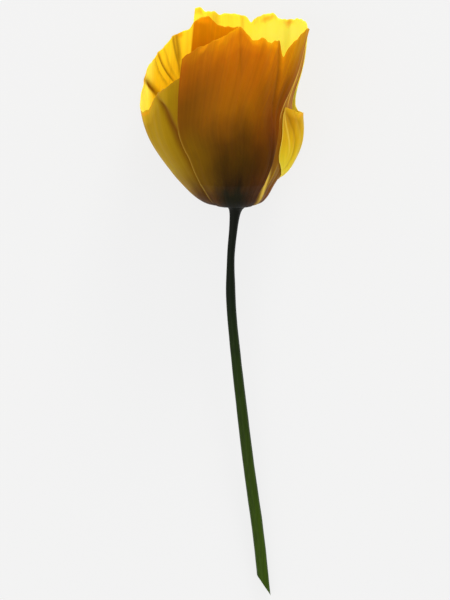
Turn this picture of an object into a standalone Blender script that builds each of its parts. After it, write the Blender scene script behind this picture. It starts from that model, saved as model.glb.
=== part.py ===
"""A cut poppy lying on its side: a long bare stem and a cup of four petals.

The flower rests on the underside of its lowest petal and on the cut end of its stem.
Its length runs along +Y, from the cut end to the mouth of the cup, and +Z is up.

The head is made in a frame of its own, with its origin where the petals join the stem:
x to the right, y along the flower's axis towards the mouth, z up. Azimuths go round that
axis from the right (0 degrees) over the top (90) and the left (180) to the table (270).
"""

import math

import bmesh
import bpy
from mathutils import Matrix, Vector

MM = 0.001

# Where the petals join the stem, and how far the cup's axis rises from the table.
RECEPTACLE_AT = Vector((2.95, 25.1, 13.6)) * MM
HEAD_TILT = math.radians(10)
HEAD_TURN = Matrix.Rotation(HEAD_TILT, 3, "X")

# The cup's half widths by height along it from the receptacle, in millimetres, and how far
# it sags below that height near its foot, where the petals bulge down round the stem: the
# inner petals fully, the outermost by a share.
CUP_RIGHT = ((0, 3.4), (1, 6.6), (5.3, 9.8), (11.4, 13.6), (17, 15.0), (26, 14.6), (35, 16.7), (46, 18.2))
CUP_LEFT = ((0, 3.4), (1, 8.0), (5.8, 13.9), (12, 18.7), (18, 21.7), (26, 23.0), (36, 22.9), (48, 22.2))
CUP_DEPTH = ((0, 3.4), (1, 7.5), (5.5, 11.3), (11.5, 15.0), (18, 17.0), (27, 17.6), (36, 17.2), (48, 16.4))
CUP_SAG = ((0, 0.2), (0.5, 0.5), (1.6, 0.7), (5, 0.4), (9, 0))
SAG_SHARES = (1.0, 1.0, 0.4)
RUFFLE = 0.35 * MM
RUFFLES_ROUND = 11

# A petal's thickness, how far apart neighbouring petals lie, closer towards their feet, and
# how softly they meet the table.
PETAL_THICKNESS = 0.4 * MM
LAYER_GAP = 1.1 * MM
FOOT_GAP_SHARE = 0.45
FULL_GAP_HEIGHT = 8
TABLE_EASE = 0.4 * MM

# Where the lowest petal lies on the table, two creases of it touch, one on either side, and
# the sheet between and beyond them stands a little clear, by up to REST_RISE.
REST_CREASES = (Vector((-3.0, 46.0)) * MM, Vector((9.0, 46.0)) * MM)
REST_RISE = 0.15 * MM
REST_SPREAD = 6 * MM
PETAL_COLUMNS = 26
PETAL_ROWS = 18
ROW_CROWDING = 1.5

# Each petal's two side margins (share of its length, azimuth), its rim (azimuth, height in
# millimetres), its layer counted from the inside, and how its rim flares: about which
# azimuth, how widely in degrees, and how far in millimetres.
PETALS = {
    "petal_upper": {
        "layer": 2,
        "from": ((0, 60), (0.1, 59), (0.33, 54.5), (0.47, 51.5), (0.58, 46.5), (0.7, 38.5), (1, 21)),
        "to": (
            (0, 122), (0.05, 121.5), (0.165, 120.5), (0.27, 121.5), (0.365, 122.3), (0.44, 124.5),
            (0.53, 126.4), (0.67, 125.8), (0.85, 124.8), (1, 123.5),
        ),
        "rim": (
            (21, 45.6), (29, 44.8), (42, 42.3), (51, 39.5), (57, 43.6), (76, 44.3), (87, 47.3),
            (103, 44.1), (123.5, 38.4),
        ),
        "flare": (20, 15, 0.0),
        "colour": (0.56, 0.20, 0.01),
    },
    "petal_lower": {
        "layer": 1,
        "from": ((0, 240), (0.1, 236), (0.4, 238), (1, 243.5)),
        "to": (
            (0, 304), (0.1, 318), (0.25, 350), (0.36, 384), (0.46, 400), (0.58, 406),
            (0.75, 402), (0.9, 397), (1, 388),
        ),
        "rim": (
            (243.5, 48.0), (257, 46.5), (275, 45.6), (282, 44), (292, 46.2), (301, 46.2),
            (311, 45.3), (327, 46.2), (338, 45.2), (343, 37), (346.5, 25.6), (356, 23.6),
            (366, 23.6), (373, 24.1), (384, 25.6), (392, 26.2), (398, 25.6),
        ),
        "flare": (368, 16, 2.3),
        "colour": (0.80, 0.52, 0.03),
    },
    "petal_left": {
        "layer": 0,
        "from": ((0, 138), (0.04, 122), (0.1, 113), (0.2, 110), (1, 110)),
        "to": ((0, 222), (0.04, 234), (0.1, 241), (0.3, 252), (0.7, 268), (1, 272)),
        "rim": (
            (110, 36.5), (134, 32.7), (152, 28.7), (160.5, 25.6), (169, 24.3), (178, 25.6),
            (183, 28.4), (192, 31.6), (202, 35.4), (225, 41.1), (237, 42.6), (249, 45),
            (258, 42.8), (272, 42),
        ),
        "flare": (177, 12, 1.5),
        "colour": (0.78, 0.50, 0.03),
    },
    "petal_right": {
        "layer": 0,
        "from": ((0, -42), (0.04, -50), (0.1, -55), (0.3, -58), (1, -58)),
        "to": ((0, 44), (0.04, 56), (0.1, 62), (0.2, 65), (1, 65)),
        "rim": ((-58, 33), (-40, 35), (-20, 39), (-5, 43), (6, 45), (18, 44.6), (32, 41), (65, 36)),
        "flare": (2, 15, 0.0),
        "colour": (0.78, 0.50, 0.03),
    },
}

# The stem by the way down from the petals, in millimetres: its course to the right as seen
# from above, its radius with the receptacle as its swollen top, where it meets the table,
# and its oblique cut.
STEM_COURSE = (
    (0, 0), (6, -0.6), (14, -1.3), (26, -1.2), (40, 0.1), (54, 1.7), (67, 3.3), (85, 5.8), (102, 7.6),
)
RECEPTACLE_TOP = 0.3
STEM_RADIUS = (
    (0.3, 2.65), (0.9, 2.3), (1.6, 1.75), (2.6, 1.42), (4, 1.24), (6, 1.12),
    (10, 1.0), (16, 1.0), (21, 1.2), (30, 1.22), (50, 1.34), (70, 1.44), (102, 1.48),
)
STEM_STEPS = 36
STEM_CROWDING = 1.8
STEM_SIDES = 12
STEM_REST = 98.7
CUT_POINT = Vector((8.7, -100.0, 0.0)) * MM
CUT_NORMAL = Vector((-4.4, -3.0, 0.0))

# The pistil: a ribbed seed pod under a disc of stigma rays.
PISTIL_FOOT = 0.35 * MM
POD = ((0, 1.15), (0.6, 1.3), (2.2, 2.2), (4.6, 3.0), (7.2, 3.25), (9.0, 2.9), (9.6, 2.6))
DISC_HEIGHT = 9.9 * MM
DISC_RADIUS = 3.7 * MM
DISC_THICKNESS = 0.9 * MM
STIGMA_RAYS = 8
RAY_DEPTH = 0.16
POD_RIB = 0.035
PISTIL_SIDES = 48

# The stamens: rings of (count, radius at the foot, radius at the tip, length).
STAMEN_FOOT = 0.3 * MM
STAMEN_RINGS = ((10, 1.65, 5.0, 11.6), (13, 2.05, 6.9, 10.2), (15, 2.42, 8.6, 8.4))
FILAMENT_RADIUS = 0.16 * MM
ANTHER_RADIUS = 0.52 * MM
ANTHER_LENGTH = 1.9 * MM
STAMEN_SIDES = 6
GOLDEN_ANGLE = math.radians(137.5)


def curve_value(points, x):
    """The value at x of a smooth curve through a few (x, value) points."""
    if x <= points[0][0]:
        return points[0][1]
    if x >= points[-1][0]:
        return points[-1][1]
    i = max(k for k in range(len(points) - 1) if points[k][0] <= x)

    def slope(k):
        before = points[max(k - 1, 0)]
        after = points[min(k + 1, len(points) - 1)]
        return (after[1] - before[1]) / (after[0] - before[0])

    (x0, y0), (x1, y1) = points[i], points[i + 1]
    width = x1 - x0
    t = (x - x0) / width
    start = y0 * (1 + 2 * t) * (1 - t) ** 2 + slope(i) * width * t * (1 - t) ** 2
    end = y1 * t * t * (3 - 2 * t) + slope(i + 1) * width * t * t * (t - 1)
    return start + end


def cup_point(height, azimuth, outwards, sag_share):
    """A point on the cup, `outwards` from its middle surface. Height in millimetres."""
    turn = math.radians(azimuth)
    side = CUP_RIGHT if math.cos(turn) > 0 else CUP_LEFT
    step = 0.2
    steepness = (curve_value(CUP_DEPTH, height + step) - curve_value(CUP_DEPTH, height)) / step
    lean = math.atan(steepness)
    outwards *= FOOT_GAP_SHARE + (1 - FOOT_GAP_SHARE) * min(height / FULL_GAP_HEIGHT, 1)
    ruffle = RUFFLE * math.sin(RUFFLES_ROUND * turn) * min(height / 40, 1) ** 2
    spread = outwards * math.cos(lean) + ruffle
    half_width = curve_value(side, height) * MM + spread
    half_depth = curve_value(CUP_DEPTH, height) * MM + spread
    return Vector((
        half_width * math.cos(turn),
        (height - sag_share * curve_value(CUP_SAG, height)) * MM - outwards * math.sin(lean),
        half_depth * math.sin(turn),
    ))


def rest_on_table(point, clearance):
    """A point of the head, lifted where it would be nearer to the table than `clearance`."""
    above = RECEPTACLE_AT.z + (HEAD_TURN @ point).z - clearance
    if above >= TABLE_EASE:
        return point
    eased = 0.0
    if above > -TABLE_EASE:
        eased = (above + TABLE_EASE) ** 2 / (4 * TABLE_EASE)
    standing = (RECEPTACLE_AT + HEAD_TURN @ point).xy
    from_crease = min((standing - crease).length for crease in REST_CREASES)
    eased += REST_RISE * min(from_crease / REST_SPREAD, 1)
    return point + HEAD_TURN.inverted() @ Vector((0, 0, eased - above))


def material(name, colour, roughness):
    """A plain finish for one kind of piece."""
    made = bpy.data.materials.new(name)
    made.use_nodes = True
    shader = made.node_tree.nodes["Principled BSDF"]
    shader.inputs["Base Color"].default_value = (*colour, 1)
    shader.inputs["Roughness"].default_value = roughness
    shader.inputs["Metallic"].default_value = 0.0
    made.diffuse_color = (*colour, 1)
    return made


def add_object(name, shape, finish, parent=None):
    """The object of a finished bmesh, shaded smooth."""
    bmesh.ops.recalc_face_normals(shape, faces=shape.faces)
    mesh = bpy.data.meshes.new(name)
    shape.to_mesh(mesh)
    shape.free()
    mesh.shade_smooth()
    mesh.set_sharp_from_angle(angle=math.radians(40))
    mesh.materials.append(finish)
    made = bpy.data.objects.new(name, mesh)
    made.parent = parent
    bpy.context.scene.collection.objects.link(made)
    return made


def skin_rings(shape, rings):
    """Faces between rings of vertices, and a cap on both ends."""
    loops = [[shape.verts.new(p) for p in ring] for ring in rings]
    for low, high in zip(loops, loops[1:]):
        for i in range(len(low)):
            j = (i + 1) % len(low)
            shape.faces.new((low[i], low[j], high[j], high[i]))
    shape.faces.new(reversed(loops[0]))
    shape.faces.new(loops[-1])


def turned_ring(height, radius, sides, ribs=0, rib=0.0):
    """A ring about the flower's axis, its radius swelling `ribs` times by the share `rib`."""
    ring = []
    for k in range(sides):
        turn = 2 * math.pi * k / sides
        r = radius * (1 + rib * math.cos(ribs * turn))
        ring.append(Vector((r * math.cos(turn), height, r * math.sin(turn))))
    return ring


def make_petal(name, petal, head):
    """A thin sheet that follows the cup between its two margins, up to its rim."""
    finish = material(name, petal["colour"], 0.55)
    outwards = petal["layer"] * LAYER_GAP
    flare_at, flare_spread, flare_distance = petal["flare"]
    clearance = PETAL_THICKNESS / 2 + max(1 - petal["layer"], 0) * LAYER_GAP
    shape = bmesh.new()
    rows = []
    for j in range(PETAL_ROWS + 1):
        share = (j / PETAL_ROWS) ** ROW_CROWDING
        first = curve_value(petal["from"], share)
        last = curve_value(petal["to"], share)
        row = []
        for i in range(PETAL_COLUMNS + 1):
            azimuth = first + (last - first) * i / PETAL_COLUMNS
            height = share * curve_value(petal["rim"], azimuth)
            flare = flare_distance * MM * share**2 * math.exp(-(((azimuth - flare_at) / flare_spread) ** 2))
            point = cup_point(height, azimuth, outwards + flare, SAG_SHARES[petal["layer"]])
            row.append(shape.verts.new(rest_on_table(point, clearance)))
        rows.append(row)
    for low, high in zip(rows, rows[1:]):
        for i in range(PETAL_COLUMNS):
            shape.faces.new((low[i], low[i + 1], high[i + 1], high[i]))
    made = add_object(name, shape, finish, head)
    thickness = made.modifiers.new("thickness", "SOLIDIFY")
    thickness.thickness = PETAL_THICKNESS
    thickness.offset = 0.0


def stem_centre(down):
    """The stem's centre `down` millimetres along its course, from the receptacle."""
    share = down / STEM_REST
    whole_fall = RECEPTACLE_AT.z / MM - STEM_RADIUS[-1][1]
    straight_fall = math.tan(HEAD_TILT) * STEM_REST
    fall = straight_fall * share + (whole_fall - straight_fall) * share**2
    return Vector((curve_value(STEM_COURSE, down), -down, -fall)) * MM


def make_stem():
    """The stem with the receptacle, its swollen top, and an oblique cut at its foot."""
    shape = bmesh.new()
    rings = []
    length = STEM_COURSE[-1][0]
    for k in range(STEM_STEPS + 1):
        share = (k / STEM_STEPS) ** STEM_CROWDING
        down = RECEPTACLE_TOP + (length - RECEPTACLE_TOP) * share
        along = (stem_centre(down + 0.5) - stem_centre(down - 0.5)).normalized()
        right = Vector((0, 0, 1)).cross(along).normalized()
        up = along.cross(right)
        radius = curve_value(STEM_RADIUS, down) * MM
        ring = []
        for i in range(STEM_SIDES):
            turn = 2 * math.pi * i / STEM_SIDES
            ring.append(stem_centre(down) + radius * (math.cos(turn) * right + math.sin(turn) * up))
        rings.append(ring)
    skin_rings(shape, rings)
    everything = shape.verts[:] + shape.edges[:] + shape.faces[:]
    bmesh.ops.bisect_plane(
        shape, geom=everything, plane_co=CUT_POINT, plane_no=CUT_NORMAL, clear_outer=True
    )
    bmesh.ops.holes_fill(shape, edges=[e for e in shape.edges if e.is_boundary])
    made = add_object("stem", shape, material("stem", (0.035, 0.065, 0.012), 0.6))
    made.location = RECEPTACLE_AT


def make_pistil(head):
    """The seed pod and the rayed stigma disc on its top, which grow as one."""
    shape = bmesh.new()
    rings = []
    for height, radius in POD:
        ring = turned_ring(PISTIL_FOOT + height * MM, radius * MM, PISTIL_SIDES, STIGMA_RAYS, POD_RIB)
        rings.append(ring)
    for lift, width in ((0.0, 0.86), (0.35, 1.0), (0.75, 0.97), (1.0, 0.8), (1.25, 0.35)):
        height = DISC_HEIGHT + lift * DISC_THICKNESS
        rings.append(turned_ring(height, width * DISC_RADIUS, PISTIL_SIDES, STIGMA_RAYS, RAY_DEPTH))
    skin_rings(shape, rings)
    add_object("pistil", shape, material("pistil", (0.25, 0.30, 0.04), 0.6), head)


def make_stamens(head):
    """Rings of stamens round the pistil: a bent thread with an anther on its end."""
    finish = material("stamen", (0.85, 0.58, 0.05), 0.7)
    number = 0
    for count, foot, tip, length in STAMEN_RINGS:
        for k in range(count):
            number += 1
            turn = 2 * math.pi * k / count + number * 0.01 + foot
            wander = math.sin(number * GOLDEN_ANGLE)
            reach = (length + 0.9 * wander) * MM
            add_object(f"stamen_{number:02d}", stamen_shape(turn, foot, tip, reach), finish, head)


def stamen_shape(turn, foot, tip, reach):
    """One stamen, leaning out from the axis at the azimuth `turn`."""
    outward = Vector((math.cos(turn), 0, math.sin(turn)))
    sideways = Vector((-math.sin(turn), 0, math.cos(turn)))
    filament_end = 1 - ANTHER_LENGTH / reach

    def centre(share):
        lean = foot + (tip - foot) * math.sin(share * math.pi / 2)
        return outward * lean * MM + Vector((0, STAMEN_FOOT + reach * share, 0))

    sections = [(share * filament_end, FILAMENT_RADIUS) for share in (0, 0.35, 0.7, 1.0)]
    for share, swell in ((0.12, 0.75), (0.45, 1.0), (0.8, 0.8), (1.0, 0.3)):
        sections.append((filament_end + (1 - filament_end) * share, swell * ANTHER_RADIUS))
    rings = []
    for share, radius in sections:
        along = (centre(share + 0.02) - centre(share - 0.02)).normalized()
        normal = along.cross(sideways)
        rings.append([
            centre(share)
            + radius * (math.cos(a) * normal + math.sin(a) * sideways)
            for a in (2 * math.pi * i / STAMEN_SIDES for i in range(STAMEN_SIDES))
        ])
    shape = bmesh.new()
    skin_rings(shape, rings)
    return shape


def make_poppy():
    """The whole flower, with its head's pieces under one empty at the receptacle."""
    for old in list(bpy.data.objects):
        bpy.data.objects.remove(old)
    head = bpy.data.objects.new("flower_head", None)
    head.location = RECEPTACLE_AT
    head.rotation_euler = (HEAD_TILT, 0, 0)
    bpy.context.scene.collection.objects.link(head)
    make_stem()
    for name, petal in PETALS.items():
        make_petal(name, petal, head)
    make_pistil(head)
    make_stamens(head)


make_poppy()
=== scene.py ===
import math

import bpy
import numpy as np
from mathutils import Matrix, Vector, noise


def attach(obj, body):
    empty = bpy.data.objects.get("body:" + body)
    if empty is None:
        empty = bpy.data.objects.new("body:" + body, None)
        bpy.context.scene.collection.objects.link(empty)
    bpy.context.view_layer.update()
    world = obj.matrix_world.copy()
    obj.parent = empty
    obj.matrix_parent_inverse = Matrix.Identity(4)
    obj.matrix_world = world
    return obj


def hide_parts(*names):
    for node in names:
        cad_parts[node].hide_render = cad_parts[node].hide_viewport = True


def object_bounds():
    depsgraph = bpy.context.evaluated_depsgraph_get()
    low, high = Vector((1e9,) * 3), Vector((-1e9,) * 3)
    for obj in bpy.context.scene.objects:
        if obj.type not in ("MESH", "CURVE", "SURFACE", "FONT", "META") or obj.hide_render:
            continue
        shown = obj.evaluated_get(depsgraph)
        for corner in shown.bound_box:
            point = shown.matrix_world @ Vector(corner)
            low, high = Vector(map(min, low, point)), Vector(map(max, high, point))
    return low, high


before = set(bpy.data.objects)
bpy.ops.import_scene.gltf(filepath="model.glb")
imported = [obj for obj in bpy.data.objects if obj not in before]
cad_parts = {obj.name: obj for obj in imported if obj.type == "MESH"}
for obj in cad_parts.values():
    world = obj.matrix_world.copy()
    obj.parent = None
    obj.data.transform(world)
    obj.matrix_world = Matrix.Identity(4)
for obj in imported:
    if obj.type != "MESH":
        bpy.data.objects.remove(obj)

cad_low, cad_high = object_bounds()
MM = 0.001


# ---------------------------------------------------------------------------------------
# The table. A plain pale sheet that glows a little, as a light table does, so that light
# comes up through the thin petals and the flower throws hardly any shadow.
TABLE_SIZE = 8.0
TABLE_DROP = 0.1 * MM
TABLE_COLOUR = (0.1, 0.1, 0.1)
TABLE_ROUGHNESS = 0.9
TABLE_GLOSS = 0.1
TABLE_GLOW = 0.79

bpy.ops.object.select_all(action="DESELECT")
bpy.ops.mesh.primitive_plane_add(size=TABLE_SIZE, location=(0, 0, -TABLE_DROP))
table = bpy.context.object
table.name = "table"
table_paper = bpy.data.materials.new("table_paper")
table_paper.use_nodes = True
table_shader = table_paper.node_tree.nodes["Principled BSDF"]
table_shader.inputs["Base Color"].default_value = (*TABLE_COLOUR, 1)
table_shader.inputs["Roughness"].default_value = TABLE_ROUGHNESS
table_shader.inputs["Specular IOR Level"].default_value = TABLE_GLOSS
table_shader.inputs["Emission Color"].default_value = (1, 1, 1, 1)
table_shader.inputs["Emission Strength"].default_value = TABLE_GLOW
table.data.materials.append(table_paper)


# ---------------------------------------------------------------------------------------
# The light and the camera. A pale room lights the flower from all round, one soft lamp
# shines low into the mouth of the cup, and the camera looks straight down from afar.
ROOM_LIGHT = 0.72
MOUTH_LAMP_AT = (0.3, 1.1, 0.5)
MOUTH_LAMP_SIZE = 0.4
MOUTH_LAMP_POWER = 7.0
MOUTH_LAMP_COLOUR = (1.0, 0.96, 0.9)
CUP_MOUTH_AT = (0, 0.05, 0.02)
FILL_LAMP_AT = (-0.5, -0.3, 1.2)
FILL_LAMP_SIZE = 0.9
FILL_LAMP_POWER = 3.5
FILL_LAMP_COLOUR = (1.0, 1.0, 1.0)
CAMERA_HEIGHT = 2.0
VIEW_LENGTH = 152.3 * MM
VIEW_SHIFT = Vector((0.12, 0.4)) * MM
VIEW_DEPTH = 20.0
SENSOR = 36.0


def soft_lamp(name, place, aim, size, power, colour):
    """A square area lamp at `place` that faces `aim`."""
    lamp = bpy.data.lights.new(name, "AREA")
    lamp.size = size
    lamp.energy = power
    lamp.color = colour
    holder = bpy.data.objects.new(name, lamp)
    holder.location = place
    holder.rotation_euler = (Vector(aim) - Vector(place)).to_track_quat("-Z", "Y").to_euler()
    bpy.context.scene.collection.objects.link(holder)


soft_lamp("mouth_lamp", MOUTH_LAMP_AT, CUP_MOUTH_AT, MOUTH_LAMP_SIZE, MOUTH_LAMP_POWER, MOUTH_LAMP_COLOUR)
soft_lamp("fill_lamp", FILL_LAMP_AT, (0, 0, 0), FILL_LAMP_SIZE, FILL_LAMP_POWER, FILL_LAMP_COLOUR)

studio = bpy.data.worlds.new("studio")
studio.use_nodes = True
backdrop = studio.node_tree.nodes["Background"]
backdrop.inputs["Color"].default_value = (1.0, 1.0, 1.0, 1)
backdrop.inputs["Strength"].default_value = ROOM_LIGHT
bpy.context.scene.world = studio
bpy.context.scene.view_settings.view_transform = "Standard"

middle = (cad_low + cad_high) / 2
camera = bpy.data.cameras.new("camera")
camera.sensor_fit = "VERTICAL"
camera.sensor_height = SENSOR
camera.lens = SENSOR * (CAMERA_HEIGHT - middle.z) / VIEW_LENGTH
camera.clip_end = VIEW_DEPTH
camera_stand = bpy.data.objects.new("camera", camera)
camera_stand.location = (middle.x + VIEW_SHIFT.x, middle.y + VIEW_SHIFT.y, CAMERA_HEIGHT)
bpy.context.scene.collection.objects.link(camera_stand)
bpy.context.scene.camera = camera_stand


# ---------------------------------------------------------------------------------------
# The stem. A solid green shoot that grew as one piece, thin and faintly grooved, with its
# swollen top, the receptacle, that carries all the rest. Its foot was cut off aslant.
# Its course to the right and its radius go by the way down from the petals, in millimetres.
RECEPTACLE_AT = Vector((2.95, 25.1, 13.6)) * MM
HEAD_TILT = math.radians(10)
STEM_COURSE = (
    (0, 0), (6, -0.6), (14, -1.3), (26, -1.2), (40, 0.1), (54, 1.7), (67, 3.3), (85, 5.8), (102, 7.6),
)
STEM_RADIUS = (
    (0.3, 2.65), (0.9, 2.3), (1.6, 1.75), (2.6, 1.42), (4, 1.24), (6, 1.12),
    (10, 1.0), (16, 1.0), (21, 1.2), (30, 1.22), (50, 1.34), (70, 1.44), (102, 1.48),
)
STEM_REST = 98.7
STEM_SIDES = 48
STEM_STEPS = 240
STEM_CROWDING = 1.7
STEM_GROOVES = 7
GROOVE_DEPTH = 0.02
GROOVE_TWIST = 0.02
STEM_SWELLING = 0.035
SWELLINGS_PER_MM = 0.23
CUT_POINT = RECEPTACLE_AT + Vector((8.7, -100.0, 0.0)) * MM
CUT_NORMAL = Vector((-4.4, -3.0, 0.0)).normalized()
CUT_SKIN = 0.22 * MM
CUT_DISH = 0.05 * MM
CUT_FACING = 0.99
SEAM_REACH = 0.002 * MM
SHARP_EDGE = math.radians(40)


def curve_value(points, x):
    """The value at x, or at each of many x, of a smooth curve through a few (x, value) points."""
    places, values = np.array(points, float).T
    x = np.clip(np.asarray(x, float), places[0], places[-1])
    i = np.clip(np.searchsorted(places, x, side="right") - 1, 0, len(places) - 2)
    before = np.maximum(np.arange(len(places)) - 1, 0)
    after = np.minimum(np.arange(len(places)) + 1, len(places) - 1)
    slopes = (values[after] - values[before]) / (places[after] - places[before])
    width = places[i + 1] - places[i]
    t = (x - places[i]) / width
    start = values[i] * (1 + 2 * t) * (1 - t) ** 2 + slopes[i] * width * t * (1 - t) ** 2
    end = values[i + 1] * t * t * (3 - 2 * t) + slopes[i + 1] * width * t * t * (t - 1)
    return start + end


def stem_centre(down):
    """The stem's centre `down` millimetres along its course, from the receptacle."""
    share = down / STEM_REST
    whole_fall = RECEPTACLE_AT.z / MM - STEM_RADIUS[-1][1]
    straight_fall = math.tan(HEAD_TILT) * STEM_REST
    fall = straight_fall * share + (whole_fall - straight_fall) * share**2
    return RECEPTACLE_AT + Vector((float(curve_value(STEM_COURSE, down)), -down, -fall)) * MM


def stem_skin(turn, share):
    """A point of the stem's skin, with its shallow grooves and small swellings."""
    top, foot = STEM_RADIUS[0][0], STEM_COURSE[-1][0]
    down = top + (foot - top) * share**STEM_CROWDING
    along = (stem_centre(down + 0.5) - stem_centre(down - 0.5)).normalized()
    right = Vector((0, 0, 1)).cross(along).normalized()
    up = along.cross(right)
    grooves = GROOVE_DEPTH * math.cos(STEM_GROOVES * turn + GROOVE_TWIST * down)
    round_stem = (math.cos(turn), math.sin(turn))
    swelling = STEM_SWELLING * noise.noise(Vector((down * SWELLINGS_PER_MM, *round_stem)))
    radius = float(curve_value(STEM_RADIUS, down)) * MM * (1 + grooves + swelling)
    point = stem_centre(down) + radius * (math.cos(turn) * right + math.sin(turn) * up)
    point.z = max(point.z, 0.0)
    return point


def new_grid(name, columns, rows):
    """A flat unit grid from the corner (0, 0) to (1, 1), with everything else deselected."""
    bpy.ops.object.select_all(action="DESELECT")
    bpy.ops.mesh.primitive_grid_add(
        x_subdivisions=columns, y_subdivisions=rows, size=1, location=(0.5, 0.5, 0)
    )
    bpy.ops.object.transform_apply(location=True, rotation=False, scale=False)
    grid = bpy.context.object
    grid.name = name
    grid.data.name = name
    return grid


def roll_tube(name, sides, steps, place):
    """A closed tube rolled up from a grid: place(turn, share) gives each point of its skin."""
    tube = new_grid(name, sides, steps)
    for vertex in tube.data.vertices:
        across, share = vertex.co.x, vertex.co.y
        vertex.co = place(2 * math.pi * across, share)
    bpy.ops.object.mode_set(mode="EDIT")
    bpy.ops.mesh.select_all(action="SELECT")
    bpy.ops.mesh.remove_doubles(threshold=SEAM_REACH)
    bpy.ops.mesh.select_non_manifold()
    bpy.ops.mesh.fill_holes(sides=0)
    bpy.ops.mesh.select_all(action="SELECT")
    bpy.ops.mesh.normals_make_consistent(inside=False)
    bpy.ops.object.mode_set(mode="OBJECT")
    bpy.ops.object.shade_smooth_by_angle(angle=SHARP_EDGE)
    return tube


stem = roll_tube("stem_skin", STEM_SIDES, STEM_STEPS, stem_skin)
bpy.ops.object.mode_set(mode="EDIT")
bpy.ops.mesh.select_all(action="SELECT")
bpy.ops.mesh.bisect(plane_co=CUT_POINT, plane_no=CUT_NORMAL, use_fill=True, clear_outer=True)
bpy.ops.mesh.select_all(action="DESELECT")
bpy.ops.object.mode_set(mode="OBJECT")

# The cut end is the one face that looks along the cut and has more corners than a skin face.
for face in stem.data.polygons:
    face.select = face.normal.dot(CUT_NORMAL) > CUT_FACING and len(face.vertices) > 8
bpy.ops.object.mode_set(mode="EDIT")
bpy.ops.mesh.inset(thickness=CUT_SKIN, depth=-CUT_DISH)
bpy.ops.mesh.poke()
bpy.ops.object.mode_set(mode="OBJECT")
cut_faces = [face.index for face in stem.data.polygons if face.select]
bpy.ops.object.shade_smooth_by_angle(angle=SHARP_EDGE)
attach(stem, "root")
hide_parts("stem")


def new_finish(name, roughness, gloss):
    """A node material and its shader, with the roughness and gloss of the whole surface."""
    finish = bpy.data.materials.new(name)
    finish.use_nodes = True
    shader = finish.node_tree.nodes["Principled BSDF"]
    shader.inputs["Roughness"].default_value = roughness
    shader.inputs["Specular IOR Level"].default_value = gloss
    return finish, finish.node_tree, shader


def add_node(tree, kind, inputs=None, **settings):
    """A node of a tree. An input is a value, or another node's output to link it to."""
    node = tree.nodes.new(kind)
    for key, value in settings.items():
        setattr(node, key, value)
    for key, value in (inputs or {}).items():
        if isinstance(value, bpy.types.NodeSocket):
            tree.links.new(value, node.inputs[key])
        else:
            node.inputs[key].default_value = value
    return node


def add_ramp(tree, source, stops):
    """A colour ramp over `source` through (place, colour) stops."""
    ramp = add_node(tree, "ShaderNodeValToRGB", {"Fac": source})
    elements = ramp.color_ramp.elements
    while len(elements) < len(stops):
        elements.new(0.5)
    for element, (place, colour) in zip(elements, stops):
        element.position = place
        element.color = (*colour, 1)
    return ramp.outputs["Color"]


def mix_colours(tree, first, second, share, way="MIX"):
    """Two colours mixed, or multiplied, by a share."""
    mixed = add_node(tree, "ShaderNodeMix", data_type="RGBA", blend_type=way)
    for socket, value in ((mixed.inputs[0], share), (mixed.inputs[6], first), (mixed.inputs[7], second)):
        if isinstance(value, bpy.types.NodeSocket):
            tree.links.new(value, socket)
        elif isinstance(value, tuple):
            socket.default_value = (*value, 1)
        else:
            socket.default_value = value
    return mixed.outputs[2]


def tint(red, green, blue):
    """A linear colour from its three 0 to 255 display values."""
    return tuple((value / 255) ** 2.2 for value in (red, green, blue))


# Fibres: fine streaks along a piece, which tint it and raise it a little. Coarse and finer
# noise are mixed, both drawn out along the piece by the stretch.
FINER_STRETCH = (3.1, 1.7, 3.1)
FINER_SHARE = 0.45

fibres = bpy.data.node_groups.new("plant_fibres", "ShaderNodeTree")
fibres.interface.new_socket("Vector", in_out="INPUT", socket_type="NodeSocketVector")
fibres.interface.new_socket("Stretch", in_out="INPUT", socket_type="NodeSocketVector")
fibres.interface.new_socket("Contrast", in_out="INPUT", socket_type="NodeSocketFloat")
fibres.interface.new_socket("Tone", in_out="OUTPUT", socket_type="NodeSocketColor")
fibres.interface.new_socket("Height", in_out="OUTPUT", socket_type="NodeSocketFloat")
fibre_in = add_node(fibres, "NodeGroupInput")
fibre_out = add_node(fibres, "NodeGroupOutput")
fibre_place = add_node(fibres, "ShaderNodeVectorMath", {
    0: fibre_in.outputs["Vector"], 1: fibre_in.outputs["Stretch"],
}, operation="MULTIPLY")
coarse = add_node(fibres, "ShaderNodeTexNoise", {
    "Vector": fibre_place.outputs["Vector"], "Scale": 1.0, "Detail": 2.0, "Roughness": 0.5,
})
finer_place = add_node(fibres, "ShaderNodeVectorMath", {
    0: fibre_place.outputs["Vector"], 1: FINER_STRETCH,
}, operation="MULTIPLY")
fine = add_node(fibres, "ShaderNodeTexNoise", {
    "Vector": finer_place.outputs["Vector"], "Scale": 1.0, "Detail": 3.0, "Roughness": 0.6,
})
both = add_node(fibres, "ShaderNodeMix", {
    "Factor": FINER_SHARE, "A": coarse.outputs["Fac"], "B": fine.outputs["Fac"],
})
centred = add_node(fibres, "ShaderNodeMath", {0: both.outputs["Result"], 1: 0.5}, operation="SUBTRACT")
scaled = add_node(fibres, "ShaderNodeMath", {
    0: centred.outputs["Value"], 1: fibre_in.outputs["Contrast"],
}, operation="MULTIPLY")
lifted = add_node(fibres, "ShaderNodeMath", {0: scaled.outputs["Value"], 1: 1.0}, operation="ADD")
grey = add_node(fibres, "ShaderNodeCombineColor", {
    "Red": lifted.outputs["Value"], "Green": lifted.outputs["Value"], "Blue": lifted.outputs["Value"],
})
fibres.links.new(grey.outputs["Color"], fibre_out.inputs["Tone"])
fibres.links.new(both.outputs["Result"], fibre_out.inputs["Height"])


STEM_PAINT_FROM = -75 * MM
STEM_PAINT_TO = 26 * MM
STEM_STREAKS = (2400, 110, 2400)
STEM_STREAK_CONTRAST = 1.6
PITH_PORES = 4200.0

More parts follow.
